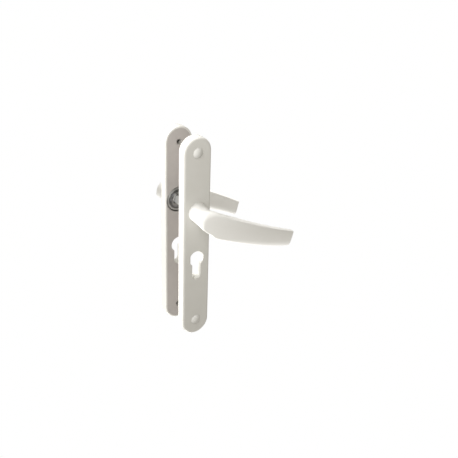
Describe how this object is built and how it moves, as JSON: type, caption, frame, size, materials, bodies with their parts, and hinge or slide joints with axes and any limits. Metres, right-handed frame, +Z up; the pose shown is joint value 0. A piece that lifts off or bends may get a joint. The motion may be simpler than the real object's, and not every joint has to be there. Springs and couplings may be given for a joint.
{
  "type": "lever handle pair on narrow backplates",
  "caption": "Pair of white lever handles on long narrow backplates with euro-profile cylinder cut-outs, joined by a square spindle.",
  "frame": {"origin": "on the spindle axis, half-way between the two mounting faces", "axes": "+X along the levers, away from the plates; +Y along the spindle from the front handle to the rear one; +Z up along the plates"},
  "size_m": [0.1208, 0.124, 0.229],
  "materials": {
    "plate_coat": "satin white powder coat on die-cast aluminium",
    "lever_coat": "satin white powder coat on die-cast aluminium",
    "cap_plastic": "moulded white plastic",
    "nylon": "natural nylon",
    "zinc_steel": "bright zinc plate",
    "pressed_steel": "plain pressed steel",
    "spring_steel": "oiled spring steel",
    "spindle_steel": "bright drawn and zinc plated bar",
    "insert_steel": "zinc-plated steel"
  },
  "bodies": {
    "plates": {"front_plate": "plate_coat", "rear_plate": "plate_coat", "front_bush": "nylon", "rear_bush": "nylon", "front_spring_cup": "pressed_steel", "rear_spring_cup": "pressed_steel", "front_return_spring": "spring_steel", "rear_return_spring": "spring_steel", "screw_caps": "cap_plastic", "threaded_inserts": "insert_steel"},
    "front_handle": {"front_lever": "lever_coat", "front_follower": "pressed_steel", "front_wave_washer": "spring_steel", "front_washer": "zinc_steel", "front_circlip": "spring_steel"},
    "spindle": {"square_spindle": "spindle_steel"},
    "rear_handle": {"rear_lever": "lever_coat", "rear_follower": "pressed_steel", "rear_wave_washer": "spring_steel", "rear_washer": "zinc_steel", "rear_circlip": "spring_steel"}
  },
  "joints": [
    {"name": "front_lever_turn", "type": "hinge", "parent": "plates", "child": "front_handle", "pos_m": [0, 0, 0], "axis": [0, 1, 0], "range_deg": [0, 40], "stiffness_Nm_per_rad": 0.8, "springref_deg": -20.05, "deforming": ["front_return_spring"]},
    {"name": "spindle_turn", "type": "hinge", "parent": "plates", "child": "spindle", "pos_m": [0, 0, 0], "axis": [0, 1, 0], "range_deg": [0, 40]},
    {"name": "rear_lever_turn", "type": "hinge", "parent": "plates", "child": "rear_handle", "pos_m": [0, 0, 0], "axis": [0, 1, 0], "range_deg": [0, 40], "stiffness_Nm_per_rad": 0.8, "springref_deg": -20.05, "deforming": ["rear_return_spring"]}
  ],
  "couplings": [
    {"joint": "spindle_turn", "follows": "front_lever_turn", "ratio": 1},
    {"joint": "rear_lever_turn", "follows": "front_lever_turn", "ratio": 1}
  ]
}
